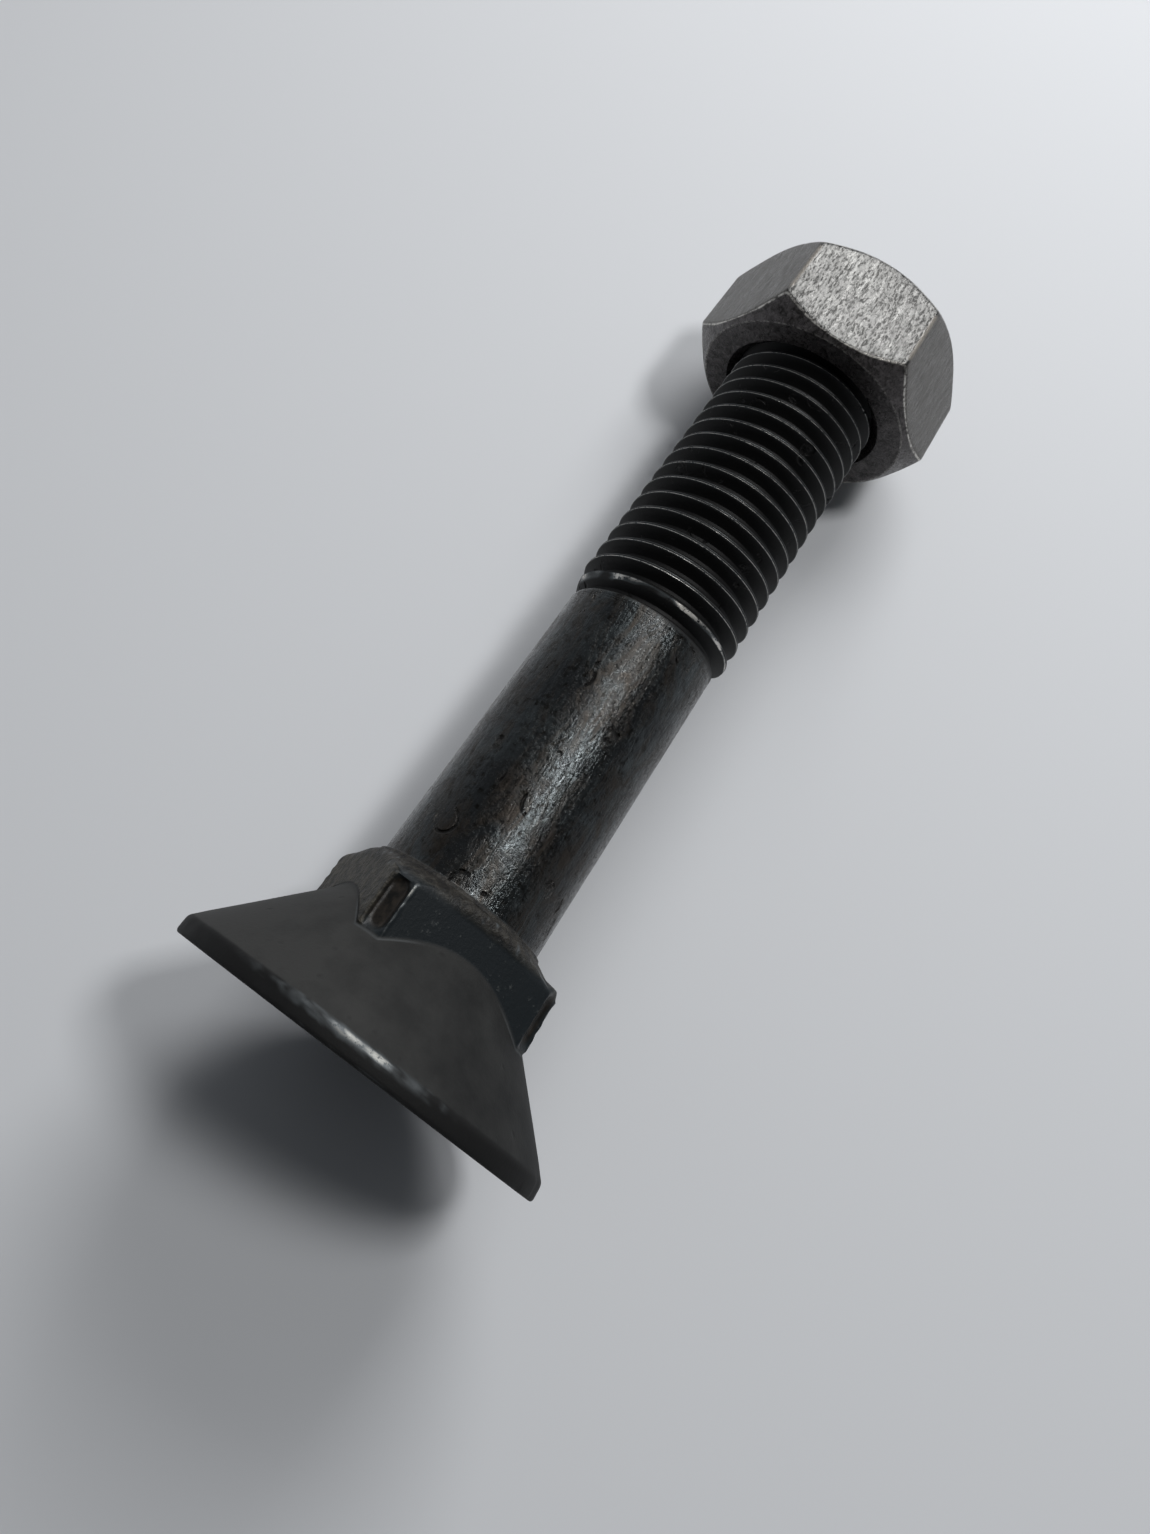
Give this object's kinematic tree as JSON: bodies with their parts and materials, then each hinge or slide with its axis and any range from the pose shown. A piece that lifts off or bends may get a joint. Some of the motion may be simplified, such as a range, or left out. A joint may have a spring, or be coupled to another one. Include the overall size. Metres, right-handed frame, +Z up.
{
  "type": "plow bolt with hex nut",
  "caption": "Countersunk square-neck plow bolt with a long rolled thread and a hex nut run on near its end, lying on its head rim and nut.",
  "frame": {"origin": "on the floor, under the middle of the part's box as it lies at rest", "axes": "+X along the bolt from head to threaded end, +Z up; the bolt's own axis slopes down 2.87 degrees towards the nut, because the head is wider than the nut"},
  "size_m": [0.1112, 0.0404, 0.0404],
  "materials": {
    "bolt": "black oxide and oil over forged steel",
    "nut": "plain grey steel, flats drawn along the axis"
  },
  "bodies": {
    "bolt": {"bolt": "bolt"},
    "nut": {"nut": "nut"}
  },
  "joints": [
    {"name": "nut_travel", "type": "slide", "parent": "bolt", "child": "nut", "axis": [0.9987, 0, -0.05], "range_m": [-0.0375, 0.02]}
  ]
}
